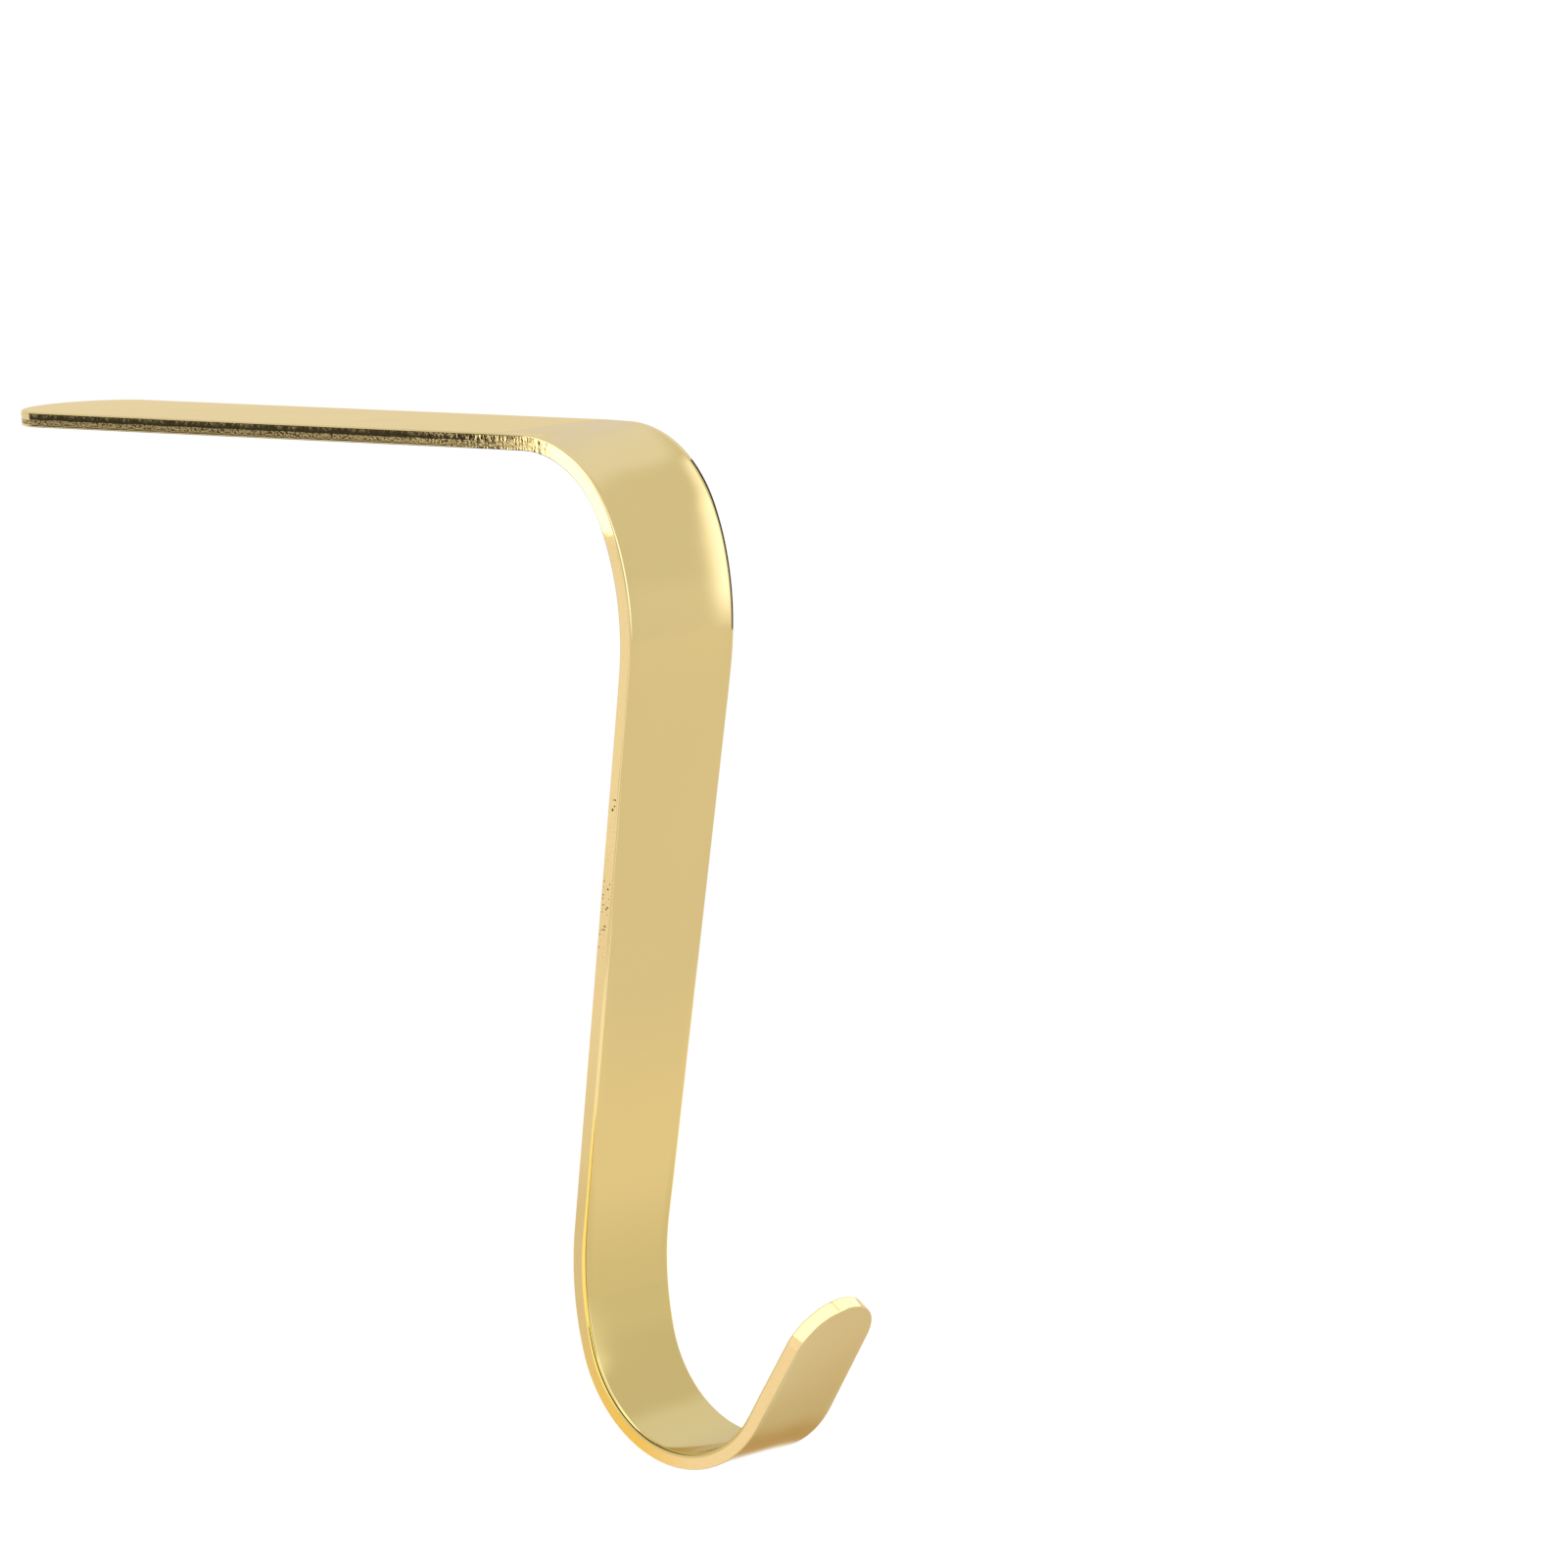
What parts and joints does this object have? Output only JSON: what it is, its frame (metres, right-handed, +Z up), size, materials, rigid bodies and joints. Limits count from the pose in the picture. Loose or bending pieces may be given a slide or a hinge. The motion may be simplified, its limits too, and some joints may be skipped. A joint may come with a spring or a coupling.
{
  "type": "mantel stocking holder",
  "caption": "Mantel stocking holder: a flat gold-coloured strip with round ends, bent into a level arm that lies on the shelf, a stem that leans back under it and an upturned hook.",
  "frame": {"origin": "middle of the flat underside of the arm, which rests on the mantel", "axes": "+X along the arm towards the room, +Y across the strip, +Z up"},
  "size_m": [0.144, 0.019, 0.1283],
  "materials": {
    "gold_plate": "polished gold plating on steel strip"
  },
  "bodies": {
    "root": {"hook_strip": "gold_plate"}
  },
  "joints": []
}
